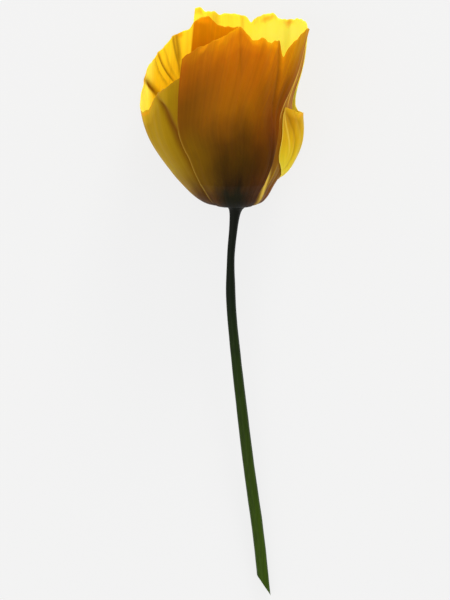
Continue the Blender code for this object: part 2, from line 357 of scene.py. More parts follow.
stem_green, tree, shader = new_finish("stem_green", roughness=0.5, gloss=0.12)
where = add_node(tree, "ShaderNodeTexCoord")
split = add_node(tree, "ShaderNodeSeparateXYZ", {"Vector": where.outputs["Object"]})
from_foot = add_node(tree, "ShaderNodeMapRange", {
    "Value": split.outputs["Y"], "From Min": STEM_PAINT_FROM, "From Max": STEM_PAINT_TO,
})
# Painted shade: the green darkens to near black towards the head, as the stem stands in shade against the
# light behind the flower.
green = add_ramp(tree, from_foot.outputs["Result"], (
    (0.0, tint(54, 76, 6)),
    (0.3, tint(48, 66, 5)),
    (0.55, tint(36, 52, 7)),
    (0.75, tint(20, 30, 11)),
    (0.93, tint(18, 22, 13)),
    (1.0, tint(17, 18, 9)),
))
streaks = add_node(tree, "ShaderNodeGroup", node_tree=fibres)
tree.links.new(where.outputs["Object"], streaks.inputs["Vector"])
streaks.inputs["Stretch"].default_value = STEM_STREAKS
streaks.inputs["Contrast"].default_value = STEM_STREAK_CONTRAST
streaked = mix_colours(tree, green, streaks.outputs["Tone"], 1.0, "MULTIPLY")
tree.links.new(streaked, shader.inputs["Base Color"])
dents = add_node(tree, "ShaderNodeBump", {
    "Strength": 0.35, "Distance": 0.0001, "Height": streaks.outputs["Height"],
})
tree.links.new(dents.outputs["Normal"], shader.inputs["Normal"])
stem.data.materials.append(stem_green)

stem_pith, tree, shader = new_finish("stem_pith", roughness=0.6, gloss=0.4)
where = add_node(tree, "ShaderNodeTexCoord")
pores = add_node(tree, "ShaderNodeTexVoronoi", {"Vector": where.outputs["Object"], "Scale": PITH_PORES})
flesh = add_ramp(tree, pores.outputs["Distance"], (
    (0.0, tint(196, 205, 120)), (0.45, tint(150, 168, 70)), (0.9, tint(96, 120, 36)),
))
tree.links.new(flesh, shader.inputs["Base Color"])
pits = add_node(tree, "ShaderNodeBump", {
    "Strength": 0.5, "Distance": 0.00008, "Height": pores.outputs["Distance"],
})
tree.links.new(pits.outputs["Normal"], shader.inputs["Normal"])
stem.data.materials.append(stem_pith)
for index in cut_faces:
    stem.data.polygons[index].material_index = 1


# ---------------------------------------------------------------------------------------
# The petals. Four thin silky sheets, each broad above and narrow where it joins the
# receptacle, crumpled in a fan of fine creases. The two side petals stand inside, and the
# upper and the lower one wrap round them; the lowest bears the cup's weight on the table.
# The cup's half widths and depth and its sag go by height from the receptacle, in millimetres.
CUP_RIGHT = ((0, 2.7), (1, 6.4), (5.3, 9.7), (11.4, 13.3), (17, 14.8), (26, 14.1), (35, 16.6), (46, 18.2))
CUP_LEFT = ((0, 2.7), (1, 7.8), (5.8, 13.9), (12, 18.7), (18, 21.7), (26, 23.0), (36, 22.9), (48, 22.2))
CUP_DEPTH = ((0, 2.7), (1, 7.2), (5.5, 11.3), (11.5, 15.0), (18, 17.0), (27, 17.6), (36, 17.2), (48, 16.4))
CUP_SAG = ((0, 0.2), (0.5, 0.5), (1.6, 0.7), (5, 0.4), (9, 0))
SAG_SHARES = (1.0, 1.0, 0.4)
RUFFLE = 0.35 * MM
RUFFLES_ROUND = 11
RUFFLED_FROM = 40
LAYER_GAP = 1.1 * MM
FOOT_GAP_SHARE = 0.2
FULL_GAP_HEIGHT = 8
TABLE_EASE = 0.4 * MM
CLEARANCE_SHARE = 0.8
PETAL_COLUMNS = 240
PETAL_ROWS = 140
ROW_CROWDING = 1.3
PETAL_THICKNESS = 0.28 * MM
RIM_THINNESS = 0.45
RIM_TAPER = 0.8
TAPER_WIDTH = 0.12
CREASE_RELIEF = 0.26 * MM
RIM_CURL = 0.5 * MM
CURL_CROWDING = 8
RAGGEDNESS = 0.35
MARGIN_LINE = 0.22
LINE_FADE_IN = 0.05
LINE_FADE_OUT = 0.1
MARGIN_CLOSING = 0.7
MARGIN_CLOSING_SPREAD = 0.12
OVERLAP_SHIFT = 2.2
OVERLAP_BLUR = 0.6

# Broad and fine creases, each as how many stand across a petal and how often they change
# along it; the share of the broad ones, and how much of the creasing is left at the foot.
BROAD_CREASES = (17, 1.2)
FINE_CREASES = (52, 2.6)
BROAD_SHARE = 0.6
FOOT_CREASING = 0.15

# How many degrees the ragged rim and its curl take to change.
RAGGED_STEP = 3
CURL_STEP = 11

# Over what stretch, in millimetres, a fold fades in and out at its ends, and what is added to
# the half depth of the cup for its mean radius, by which the folds' widths are measured.
FOLD_FADE_IN = 6
FOLD_FADE_OUT = 4
FOLD_RADIUS_EXTRA = 2

# Each petal: its two side margins (share of its length, azimuth), its rim (azimuth, height), its layer
# counted from the inside, and how its rim flares: about which azimuth, how widely, how far. Its folds are
# (course as (height, azimuth) points, width, depth, tone): they press the sheet in or out by the depth, and
# put painted shade on it where the tone is above 0, or a painted highlight where it is below. Its bright
# margins are (side, from share, to share, strength): thin painted highlights where the light catches the
# edge. Close margins are the sides that lie snugly on the petal beneath.
PETALS = {
    "petal_upper": {
        "layer": 2,
        "from": ((0, 52), (0.1, 58), (0.33, 54.5), (0.47, 51.5), (0.58, 46.5), (0.7, 38.5), (1, 21)),
        "to": (
            (0, 126), (0.05, 124), (0.165, 120.5), (0.27, 121.5), (0.365, 122.3), (0.44, 124.5),
            (0.53, 126.4), (0.67, 125.8), (0.85, 124.8), (1, 123.5),
        ),
        "rim": (
            (21, 45.5), (26.4, 45.8), (32.7, 45.3), (42.9, 43.3), (48.8, 41.4), (51.8, 39.4),
            (53.6, 41), (55.4, 43.4), (58.7, 43.8), (64.5, 43.4),
            (70.8, 44.8), (77.6, 44.2), (81, 45.7), (87, 47.6), (93, 46.4), (103, 44.1),
            (118, 41), (123.5, 39.2),
        ),
        "flare": (20, 15, 0.0),
        "folds": (
            (((36, 86), (49, 87)), 0.35, -0.1, 0.2),
            (((24, 55), (36, 55), (45, 56)), 0.6, -0.3, 0.35),
            (((10, 62), (24, 66), (34, 67)), 1.6, 0.2, 0.3),
            (((14, 54), (26, 50), (34, 45)), 0.7, -0.2, 0.4),
        ),
        "bright_margins": ((0, 0.55, 1.0, 0.8), (1, 0.05, 0.62, 0.2)),
        "seed": 3,
    },
    "petal_lower": {
        "layer": 1,
        "from": ((0, 230), (0.1, 234), (0.4, 238), (1, 243.5)),
        "to": (
            (0, 314), (0.1, 322), (0.25, 350), (0.36, 382), (0.46, 397), (0.58, 402),
            (0.75, 399), (0.9, 395), (1, 388),
        ),
        "rim": (
            (243.5, 47.8), (246, 48.1), (248.8, 47.3), (250.6, 47), (256, 46.7), (260, 46),
            (263.4, 46.3), (269, 46), (275, 45.6), (278.4, 45.1), (281.3, 44), (282.8, 43.9),
            (285, 44.9), (288.5, 45.7), (293, 46.2), (297, 46.5), (300.5, 46.4), (304, 45.4),
            (311, 45.3), (321, 45.5), (326.4, 46), (333, 45.5), (338, 44.3), (341, 42),
            (343, 37), (344.5, 30), (346, 25.6), (349, 23.8), (356, 23.6), (366, 23.6), (373, 24.1),
            (384, 25.6), (392, 26.2), (398, 25.6),
        ),
        "flare": (368, 16, 2.3),
        "folds": (
            (((40, 275), (46, 275)), 0.5, 0.25, 0.25),
            (((38, 256), (47, 257)), 0.8, 0.2, 0.3),
            (((38, 316), (47, 316)), 1.0, 0.2, 0.15),
            (((12, 368), (18, 372), (25, 378)), 0.8, -0.2, 0.12),
            (((10, 380), (18, 381), (25, 387)), 0.6, -0.15, 0.3),
            (((14, 388), (22, 392), (28, 390)), 0.4, 0.15, -0.5),
            (((10, 362), (18, 360), (24, 362)), 0.6, 0.1, 0.12),
        ),
        "bright_margins": ((1, 0.3, 1.0, 0.9),),
        "close_margins": (1,),
        "seed": 11,
    },
    "petal_left": {
        "layer": 0,
        "from": ((0, 118), (0.04, 116), (0.1, 113), (0.2, 110), (1, 110)),
        "to": ((0, 236), (0.04, 238), (0.1, 242), (0.3, 252), (0.7, 268), (1, 272)),
        "rim": (
            (110, 36.5), (128, 34.1), (134, 32.7), (143.5, 30.5), (152, 28.7), (156, 27.2),
            (160.5, 25.6), (166, 24.4), (172, 24.2), (178, 25.6), (183, 28.4), (188, 30.2),
            (192, 31.6), (195, 33.8), (202, 35.4), (214, 38.3), (225, 41.1),
            (232, 42.1), (238.5, 42.6), (242, 44.6), (248, 45.6), (251.5, 45.8), (256, 44.2),
            (259, 43.3), (272, 42.8),
        ),
        "flare": (177, 12, 1.5),
        "folds": (
            (((8, 236), (19.4, 222), (25.1, 213.7), (27, 208.7), (28.9, 201), (31.4, 192)), 1.6, 0.45, 1.0),
            (((29.4, 232.3), (33.2, 231.8), (35.2, 229.8), (39.8, 226), (42, 225)), 0.6, 0.35, 0.65),
            (((33.2, 231.8), (36.2, 231.2), (40.8, 228.8), (42.5, 228.4)), 0.6, 0.3, 0.65),
            (((27, 232), (29.2, 227), (31.4, 221), (33.8, 215.8), (37.4, 210.3)), 0.35, 0.35, 0.85),
            (((28, 222), (32.5, 211), (36.4, 205)), 0.3, -0.3, 0.45),
            (((30, 229), (34, 221), (39, 215)), 0.35, -0.25, 0.35),
            (
                ((4, 121), (8.4, 124), (13.2, 127), (19.5, 132), (23, 136.6), (26.2, 141.4), (28.4, 148.6)),
                1.3, -0.5, 0.95,
            ),
            (((6, 113), (14, 116), (20, 119), (30, 122)), 0.6, 0.3, 0.3),
        ),
        "bright_margins": (),
        "seed": 23,
    },
    "petal_right": {
        "layer": 0,
        "from": ((0, -52), (0.04, -54), (0.1, -56), (0.3, -58), (1, -58)),
        "to": ((0, 60), (0.04, 62), (0.1, 63), (0.2, 65), (1, 65)),
        "rim": ((-58, 33), (-40, 35), (-20, 39), (-5, 43), (6, 45), (18, 44.6), (32, 41), (65, 36)),
        "flare": (2, 15, 0.0),
        "folds": (
            (((2, 41), (4, 43), (7, 46), (10, 49)), 0.9, 0.1, -0.8),
            (((4.5, 41), (8.4, 39), (10.5, 39)), 0.3, 0.2, -0.25),
            (((2, 26), (8, 24), (14, 26)), 0.9, -0.3, 0.6),
            (((28, 12), (36, 9), (44, 6)), 0.5, -0.3, 0.5),
            (((26, 22), (34, 19), (42, 16)), 0.4, 0.2, -0.6),
        ),
        "bright_margins": (),
        "seed": 37,
    },
}


def cup_points(height, azimuth, outwards, sag_share):
    """Points on the cup in the head's frame, `outwards` from its middle surface."""
    turn = np.radians(azimuth)
    half_width = np.where(np.cos(turn) > 0, curve_value(CUP_RIGHT, height), curve_value(CUP_LEFT, height))
    half_depth = curve_value(CUP_DEPTH, height)
    step = 0.2
    lean = np.arctan((curve_value(CUP_DEPTH, height + step) - half_depth) / step)
    ruffle = RUFFLE * np.sin(RUFFLES_ROUND * turn) * np.minimum(height / RUFFLED_FROM, 1) ** 2
    spread = outwards * np.cos(lean) + ruffle
    return np.stack((
        (half_width * MM + spread) * np.cos(turn),
        (height - sag_share * curve_value(CUP_SAG, height)) * MM - outwards * np.sin(lean),
        (half_depth * MM + spread) * np.sin(turn),
    ), axis=1)


def place_head(points, clearance):
    """Points of the head in the flower's own frame, kept `clearance` above the table."""
    tilt_cos, tilt_sin = math.cos(HEAD_TILT), math.sin(HEAD_TILT)
    x = RECEPTACLE_AT.x + points[:, 0]
    y = RECEPTACLE_AT.y + points[:, 1] * tilt_cos - points[:, 2] * tilt_sin
    z = RECEPTACLE_AT.z + points[:, 1] * tilt_sin + points[:, 2] * tilt_cos
    above = np.clip(z - clearance, -TABLE_EASE, TABLE_EASE)
    eased = clearance + (above + TABLE_EASE) ** 2 / (4 * TABLE_EASE)
    return np.stack((x, y, np.where(z - clearance < TABLE_EASE, eased, z)), axis=1)


def roughly(across, share, scale_across, scale_along, seed):
    """Smooth random values from -1 to 1 over a petal, stretched along it."""
    return np.array([
        noise.noise(Vector((a * scale_across, s * scale_along, seed)))
        for a, s in zip(across, share)
    ])


def fade(value):
    """A soft step from 0 to 1."""
    value = np.clip(value, 0, 1)
    return value * value * (3 - 2 * value)


def fold_marks(petal, azimuth, height):
    """How far the folds press each point outwards, and how much painted shade and painted highlight they
    put on it.
    """
    press = np.zeros(len(azimuth))
    dark = np.zeros(len(azimuth))
    light = np.zeros(len(azimuth))
    radius = curve_value(CUP_DEPTH, height) + FOLD_RADIUS_EXTRA
    for course, width, depth, tone in petal["folds"]:
        off_centre = np.radians(azimuth - curve_value(course, height)) * radius
        begun = fade((height - course[0][0]) / FOLD_FADE_IN + 0.5)
        not_over = fade((course[-1][0] - height) / FOLD_FADE_OUT + 0.5)
        near = np.exp(-((off_centre / width) ** 2)) * begun * not_over
        press += depth * MM * near
        if tone > 0:
            dark = np.maximum(dark, tone * near)
        else:
            light = np.maximum(light, -tone * near)
    return press, dark, light


def bright_margins(petal, across, share, breadth):
    """How much the painted highlights along the petal's margins lighten each point."""
    light = np.zeros(len(across))
    for side, low, high, strength in petal["bright_margins"]:
        inwards = np.abs(across - side) * breadth
        begun = np.clip((share - low) / LINE_FADE_IN, 0, 1)
        not_over = np.clip((high - share) / LINE_FADE_OUT, 0, 1)
        line = np.exp(-((inwards / MARGIN_LINE) ** 2))
        light = np.maximum(light, strength * begun * not_over * line)
    return light


def layer_distance(petal, azimuth, height, across, share):
    """How far outwards a smooth petal would lie in its layer, with its flared rim."""
    flare_at, flare_spread, flare_distance = petal["flare"]
    flare = flare_distance * MM * share**2 * np.exp(-(((azimuth - flare_at) / flare_spread) ** 2))
    closer = FOOT_GAP_SHARE + (1 - FOOT_GAP_SHARE) * np.minimum(height / FULL_GAP_HEIGHT, 1)
    for side in petal.get("close_margins", ()):
        closer *= 1 - MARGIN_CLOSING * np.exp(-((across - side) / MARGIN_CLOSING_SPREAD) ** 2)
    return (petal["layer"] * LAYER_GAP + flare) * closer


def crumpling(petal, azimuth, across, share):
    """How far the fan of creases and the curl of the rim stand out from the smooth petal."""
    seed = petal["seed"]
    broad = roughly(across, share, *BROAD_CREASES, seed)
    fine = roughly(across, share, *FINE_CREASES, seed + 0.5)
    mixed = BROAD_SHARE * broad + (1 - BROAD_SHARE) * fine
    creases = CREASE_RELIEF * mixed * (FOOT_CREASING + (1 - FOOT_CREASING) * share)
    waves = roughly(azimuth / CURL_STEP, share * 0, 1, 1, seed + 4.2)
    curl = RIM_CURL * share**CURL_CROWDING * waves
    return creases + curl


def mark_points(sheet, marks):
    """Values by name on a sheet's points, for its paint to read."""
    for mark, values in marks.items():
        layer = sheet.data.attributes.new(mark, "FLOAT", "POINT")
        layer.data.foreach_set("value", values.astype(np.float32))


def thicken(sheet, across, share):
    """The sheet's thickness, which tapers towards its margins and its rim."""
    taper = sheet.vertex_groups.new(name="thickness")
    edge = np.minimum(np.minimum(across, 1 - across), (1 - share) * RIM_TAPER)
    thinning = RIM_THINNESS + (1 - RIM_THINNESS) * np.minimum(edge / TAPER_WIDTH, 1)
    for index, weight in enumerate(thinning):
        taper.add([index], weight, "REPLACE")
    thickness = sheet.modifiers.new("thickness", "SOLIDIFY")
    thickness.thickness = PETAL_THICKNESS
    thickness.offset = 0.0
    thickness.vertex_group = "thickness"
    bpy.ops.object.modifier_apply(modifier="thickness")
    bpy.ops.object.shade_smooth()


def mark_inside(sheet):
    """Marks the face of a petal that looks into the cup."""
    points = np.empty(len(sheet.data.vertices) * 3)
    sheet.data.vertices.foreach_get("co", points)
    points = points.reshape(-1, 3)
    half = len(points) // 2
    along = (points[:, 1] - RECEPTACLE_AT.y) * math.tan(HEAD_TILT)
    from_axis = np.hypot(points[:, 0] - RECEPTACLE_AT.x, points[:, 2] - RECEPTACLE_AT.z - along)
    first_inside = from_axis[:half].mean() < from_axis[half:].mean()
    inside = np.zeros(len(points))
    inside[slice(0, half) if first_inside else slice(half, None)] = 1
    mark_points(sheet, {"inside": inside})


def make_petal(name, petal):
    """One petal: a grid laid on the cup, creased and folded, given its thickness."""
    sheet = new_grid(name + "_sheet", PETAL_COLUMNS, PETAL_ROWS)
    grid = np.empty(len(sheet.data.vertices) * 3)
    sheet.data.vertices.foreach_get("co", grid)
    across, share = grid[0::3], grid[1::3] ** ROW_CROWDING
    first = curve_value(petal["from"], share)
    last = curve_value(petal["to"], share)
    azimuth = first + (last - first) * across
    ragged = RAGGEDNESS * roughly(azimuth / RAGGED_STEP, share * 0, 1, 1, petal["seed"] + 0.7)
    height = share * (curve_value(petal["rim"], azimuth) + ragged)

    press, dark, light = fold_marks(petal, azimuth, height)
    outwards = layer_distance(petal, azimuth, height, across, share)
    outwards += crumpling(petal, azimuth, across, share) + press
    clearance = PETAL_THICKNESS / 2 + max(1 - petal["layer"], 0) * LAYER_GAP * CLEARANCE_SHARE
    on_cup = cup_points(height, azimuth, outwards, SAG_SHARES[petal["layer"]])
    sheet.data.vertices.foreach_set("co", place_head(on_cup, clearance).ravel())

    breadth = np.radians(np.abs(last - first)) * curve_value(CUP_DEPTH, height)
    covered_from = curve_value(PETALS["petal_lower"]["from"], share) - OVERLAP_SHIFT
    # Painted shade and highlight marks: the folds' shade and highlights, the margins' highlights, and the
    # painted shade where the lower petal lies behind.
    mark_points(sheet, {
        "fold_painted_shade": dark,
        "fold_painted_light": np.maximum(light, bright_margins(petal, across, share, breadth)),
        "overlap_shade": np.clip((azimuth - covered_from) / OVERLAP_BLUR, 0, 1),
    })
    thicken(sheet, across, share)
    mark_inside(sheet)
    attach(sheet, "root")
    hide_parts(name)
    return sheet


petal_sheets = {name: make_petal(name, petal) for name, petal in PETALS.items()}

# Each petal's paint, as stops along it from its foot to its rim: outside down the middle, outside by its
# first and its last margin, and inside. Where the inside differs towards the last margin, that has stops of
# its own, and the share across the petal where it changes. The paint is partly the petals' own dark foot
# and yellow to orange, partly painted shade and light: the darkening towards the foot, the darker outer
# faces and the darker stretches by the margins are painted shade of the backlit cup, and the brighter inner
# faces are painted light.
PETAL_PAINT_AND_SHADE = {
    "petal_upper": {
        "middle": (
            (0.0, tint(14, 15, 6)), (0.11, tint(30, 28, 7)), (0.17, tint(50, 33, 5)),
            (0.3, tint(79, 52, 2)), (0.41, tint(97, 61, 1)), (0.5, tint(129, 78, 1)),
            (0.6, tint(157, 95, 1)), (0.8, tint(179, 101, 1)), (0.89, tint(191, 107, 2)),
            (0.96, tint(212, 127, 2)), (1.0, tint(236, 160, 2)),
        ),
        "first": (
            (0.0, tint(30, 20, 5)), (0.2, tint(84, 46, 4)), (0.3, tint(72, 40, 2)),
            (0.4, tint(88, 46, 2)), (0.5, tint(114, 58, 2)), (0.6, tint(132, 68, 2)),
            (0.68, tint(134, 73, 2)), (0.8, tint(164, 98, 1)), (0.9, tint(186, 120, 3)),
            (1.0, tint(200, 142, 8)),
        ),
        "last": (
            (0.0, tint(24, 20, 6)), (0.1, tint(78, 48, 4)), (0.2, tint(108, 76, 6)),
            (0.4, tint(128, 90, 2)), (0.55, tint(123, 77, 1)), (0.7, tint(126, 76, 1)),
            (0.82, tint(148, 84, 1)), (0.93, tint(172, 98, 2)), (1.0, tint(188, 116, 2)),
        ),
        "inside": (
            (0.0, tint(60, 40, 5)), (0.3, tint(170, 104, 6)), (0.7, tint(232, 160, 14)),
            (1.0, tint(248, 196, 40)),
        ),
    },
    "petal_lower": {
        "middle": (
            (0.0, tint(70, 50, 6)), (0.2, tint(160, 112, 8)), (0.45, tint(246, 210, 36)),
            (0.8, tint(246, 208, 36)), (1.0, tint(252, 226, 56)),
        ),
        "first": (
            (0.0, tint(70, 50, 6)), (0.2, tint(150, 104, 8)), (0.6, tint(226, 176, 22)),
            (1.0, tint(250, 220, 52)),
        ),
        "last": (
            (0.0, tint(110, 66, 8)), (0.2, tint(210, 156, 14)), (0.36, tint(254, 218, 40)),
            (0.5, tint(240, 200, 26)), (0.7, tint(216, 166, 14)), (0.93, tint(192, 136, 10)),
            (1.0, tint(224, 172, 28)),
        ),
        "inside": (
            (0.0, tint(80, 60, 6)), (0.3, tint(212, 150, 10)), (0.7, tint(248, 218, 44)),
            (0.9, tint(254, 240, 72)), (1.0, tint(253, 228, 60)),
        ),
        "inside_last": (
            (0.0, tint(80, 60, 6)), (0.3, tint(212, 150, 10)), (0.7, tint(254, 238, 62)),
            (0.9, tint(255, 253, 96)), (1.0, tint(255, 244, 80)),
        ),
        "inside_change": (0.2, 0.4),
    },
    "petal_left": {
        "middle": (
            (0.0, tint(50, 30, 4)), (0.1, tint(100, 66, 5)), (0.2, tint(148, 112, 9)),
            (0.36, tint(172, 139, 9)), (0.6, tint(174, 138, 9)), (0.85, tint(180, 140, 12)),
            (1.0, tint(226, 184, 34)),
        ),
        "first": (
            (0.0, tint(44, 26, 4)), (0.1, tint(76, 46, 4)), (0.2, tint(110, 78, 6)),
            (0.36, tint(140, 104, 8)), (0.6, tint(158, 122, 9)), (1.0, tint(164, 128, 12)),
        ),
        "last": (
            (0.0, tint(70, 50, 6)), (0.2, tint(150, 104, 8)), (0.6, tint(226, 176, 22)),
            (1.0, tint(250, 220, 52)),
        ),
        "inside": (
            (0.0, tint(80, 60, 6)), (0.3, tint(200, 140, 10)), (0.58, tint(250, 218, 46)),
            (0.8, tint(255, 244, 84)), (1.0, tint(255, 246, 100)),
        ),
        "inside_last": (
            (0.0, tint(80, 60, 6)), (0.3, tint(200, 140, 10)), (0.6, tint(228, 184, 26)),
            (0.8, tint(238, 198, 34)), (1.0, tint(246, 212, 46)),
        ),
        "inside_change": (0.52, 0.62),
    },
    "petal_right": {
        "middle": (
            (0.0, tint(60, 34, 4)), (0.08, tint(120, 66, 8)), (0.2, tint(142, 98, 4)),
            (0.4, tint(168, 112, 6)), (0.7, tint(176, 110, 6)), (0.9, tint(196, 132, 12)),
            (1.0, tint(240, 190, 40)),
        ),
        "first": (
            (0.0, tint(60, 40, 5)), (0.3, tint(180, 128, 10)), (1.0, tint(240, 196, 40)),
        ),
        "last": (
            (0.0, tint(60, 34, 4)), (0.2, tint(128, 86, 3)), (0.6, tint(140, 78, 3)),
            (1.0, tint(190, 120, 10)),
        ),
        "inside": (
            (0.0, tint(80, 60, 6)), (0.3, tint(190, 126, 8)), (0.7, tint(240, 184, 26)),
            (1.0, tint(250, 216, 50)),
        ),
    },
}

# Painted shade on the left petal's inner face where the lower petal lies behind it, as two layers let less
# light through; the folds' painted shade and painted highlight, and the rims' tint. The inner faces glow a
# little: a painted glow, emission that stands in for light shining through the petals from behind. Then
# come the stretches across a petal where its margins' paint takes over, how far the paint drifts along it,
# and the stretches along it where the rim blushes and where the folds' painted shade stops being hidden.
OVERLAP_SHADE_PAINT = (
    (0.0, tint(90, 56, 4)), (0.5, tint(170, 96, 2)), (0.85, tint(182, 106, 2)), (1.0, tint(206, 134, 4)),
)
FOLD_SHADE = tint(122, 74, 4)
FOLD_LIGHT = tint(254, 214, 84)
RIM_BLUSH = tint(242, 158, 14)
INNER_PAINTED_GLOW = 0.2
FIRST_MARGIN_PAINT = (0.46, 0.06)
LAST_MARGIN_PAINT = (0.62, 0.94)
PAINT_DRIFT = 0.035
BLUSHING_RIM = (0.93, 0.99)
HIDDEN_FOLDS = (0.55, 0.8)
PETAL_VEINS = (46, 1.6, 1)
VEIN_CONTRAST = 0.55


def add_step(tree, source, low, high, **ends):
    """A soft step of `source` between two places, from 0 to 1 or to the given ends."""
    inputs = {"Value": source, "From Min": low, "From Max": high}
    inputs.update({key.replace("_", " "): value for key, value in ends.items()})
    step = add_node(tree, "ShaderNodeMapRange", inputs, interpolation_type="SMOOTHSTEP")
    return step.outputs["Result"]


def add_math(tree, operation, first, second):
    """The sum, product or the like of two values."""
    return add_node(tree, "ShaderNodeMath", {0: first, 1: second}, operation=operation).outputs[0]


def petal_paint(tree, name, uv, across, length, mark):
    """The petal's colours along it, outside and inside, which drift a little: its own colour with painted
    shade, darkest at the foot and on the outer faces, and painted light on the inner faces.
    """
    paint = PETAL_PAINT_AND_SHADE[name]
    clouds = add_node(tree, "ShaderNodeTexNoise", {
        "Vector": uv, "Scale": 6.0, "Detail": 3.0, "Roughness": 0.5,
    })
    drift = add_node(tree, "ShaderNodeMapRange", {
        "Value": clouds.outputs["Fac"], "From Min": 0.3, "From Max": 0.7,
        "To Min": -PAINT_DRIFT, "To Max": PAINT_DRIFT,
    })
    along = add_math(tree, "ADD", length, drift.outputs["Result"])
    outside = add_ramp(tree, along, paint["middle"])
    near_first = add_step(tree, across, *FIRST_MARGIN_PAINT)
    near_last = add_step(tree, across, *LAST_MARGIN_PAINT)
    outside = mix_colours(tree, outside, add_ramp(tree, along, paint["first"]), near_first)
    outside = mix_colours(tree, outside, add_ramp(tree, along, paint["last"]), near_last)
    inside = add_ramp(tree, along, paint["inside"])
    if "inside_last" in paint:
        towards_last = add_step(tree, across, *paint["inside_change"])
        inside = mix_colours(tree, inside, add_ramp(tree, along, paint["inside_last"]), towards_last)
    # Painted shade where the lower petal lies behind the left one, as two layers let less light through.
    if name == "petal_left":
        inside = mix_colours(tree, inside, add_ramp(tree, along, OVERLAP_SHADE_PAINT), mark["overlap_shade"])
    return mix_colours(tree, outside, inside, mark["inside"])


def blush_rim(tree, skin, uv, length):
    """The skin with orange patches along its rim."""
    patches = add_node(tree, "ShaderNodeTexNoise", {
        "Vector": uv, "Scale": 11.0, "Detail": 1.0, "Roughness": 0.5,
    })
    patchy = add_step(tree, patches.outputs["Fac"], 0.5, 0.68, To_Max=0.75)
    at_rim = add_step(tree, length, *BLUSHING_RIM)
    return mix_colours(tree, skin, RIM_BLUSH, add_math(tree, "MULTIPLY", patchy, at_rim))


def shade_folds(tree, skin, length, mark):
    """The skin with its folds' painted shade and painted highlights. Deep inside the cup the painted shade
    is left out.
    """
    low_down = add_step(tree, length, *HIDDEN_FOLDS, To_Min=1.0, To_Max=0.0)
    deep_inside = add_math(tree, "MULTIPLY", low_down, mark["inside"])
    hidden = add_math(tree, "MULTIPLY", mark["fold_painted_shade"], deep_inside)
    fold = add_math(tree, "SUBTRACT", mark["fold_painted_shade"], hidden)
    skin = mix_colours(tree, skin, FOLD_SHADE, fold)
    return mix_colours(tree, skin, FOLD_LIGHT, mark["fold_painted_light"])


def petal_silk(name):
    """Silky petal skin, coloured from foot to rim with painted shade and light, with a fan of fine veins,
    its folds' painted shade and highlights, and a painted glow on its inner face.
    """
    finish, tree, shader = new_finish(name + "_silk", roughness=0.5, gloss=0.05)
    uv = add_node(tree, "ShaderNodeUVMap").outputs["UV"]
    split = add_node(tree, "ShaderNodeSeparateXYZ", {"Vector": uv})
    across = split.outputs["X"]
    length = add_math(tree, "POWER", split.outputs["Y"], ROW_CROWDING)
    mark = {}
    for key in ("fold_painted_shade", "fold_painted_light", "overlap_shade", "inside"):
        mark[key] = add_node(tree, "ShaderNodeAttribute", attribute_name=key).outputs["Fac"]
    skin = petal_paint(tree, name, uv, across, length, mark)
    skin = blush_rim(tree, skin, uv, length)

    veins = add_node(tree, "ShaderNodeGroup", node_tree=fibres)
    tree.links.new(uv, veins.inputs["Vector"])
    veins.inputs["Stretch"].default_value = PETAL_VEINS
    veins.inputs["Contrast"].default_value = VEIN_CONTRAST
    skin = mix_colours(tree, skin, veins.outputs["Tone"], 1.0, "MULTIPLY")
    skin = shade_folds(tree, skin, length, mark)
    tree.links.new(skin, shader.inputs["Base Color"])
    # Painted glow: the inner faces emit their own colour, standing in for light shining through the petals
    # from behind.
    painted_glow = mix_colours(tree, (0.0, 0.0, 0.0), skin, mark["inside"])
    tree.links.new(painted_glow, shader.inputs["Emission Color"])
    shader.inputs["Emission Strength"].default_value = INNER_PAINTED_GLOW

    relief = add_node(tree, "ShaderNodeBump", {
        "Strength": 0.4, "Distance": 0.00008, "Height": veins.outputs["Height"],
    })
    tree.links.new(relief.outputs["Normal"], shader.inputs["Normal"])
    shader.inputs["Subsurface Weight"].default_value = 0.5
    shader.inputs["Subsurface Radius"].default_value = (1.0, 0.6, 0.1)
    shader.inputs["Subsurface Scale"].default_value = 0.0005
    return finish


for name, sheet in petal_sheets.items():
    sheet.data.materials.append(petal_silk(name))


# ---------------------------------------------------------------------------------------
# The pistil. The green seed pod in the middle of the cup, with shallow ribs, and the lid of
# velvety stigma rays on its top; both grew as one, out of the middle of the receptacle.
# Its outline is its height and its radius, in millimetres, by the share of the way up and over.
PISTIL_HEIGHT = (
    (0.0, -0.3), (0.06, 0.5), (0.2, 2.6), (0.36, 5.0), (0.5, 7.5), (0.6, 9.1), (0.66, 9.8),
    (0.71, 9.95), (0.76, 10.1), (0.81, 10.45), (0.86, 10.75), (0.93, 10.85), (1.0, 10.7),
)
PISTIL_RADIUS = (
    (0.0, 1.1), (0.06, 1.3), (0.2, 2.2), (0.36, 2.95), (0.5, 3.2), (0.6, 2.9), (0.66, 2.6),
    (0.71, 2.9), (0.76, 3.5), (0.81, 3.7), (0.86, 3.3), (0.93, 1.8), (1.0, 0.06),
)
STIGMA_RAYS = 8
POD_RIB = 0.04
RAY_SPREAD = 0.13
RAY_RIDGE = 0.32
LID_FROM = 0.69
LID_EASE = 0.05
RIDGE_FROM = 0.78
RIDGE_EASE = 0.04
RIDGE_TAPER = 1.2
PISTIL_SIDES = 128
PISTIL_STEPS = 90


def in_head(x, y, z):
    """A point of the head, given in millimetres, in the flower's own frame."""
    tilt_cos, tilt_sin = math.cos(HEAD_TILT), math.sin(HEAD_TILT)
    return RECEPTACLE_AT + Vector((x, y * tilt_cos - z * tilt_sin, y * tilt_sin + z * tilt_cos)) * MM


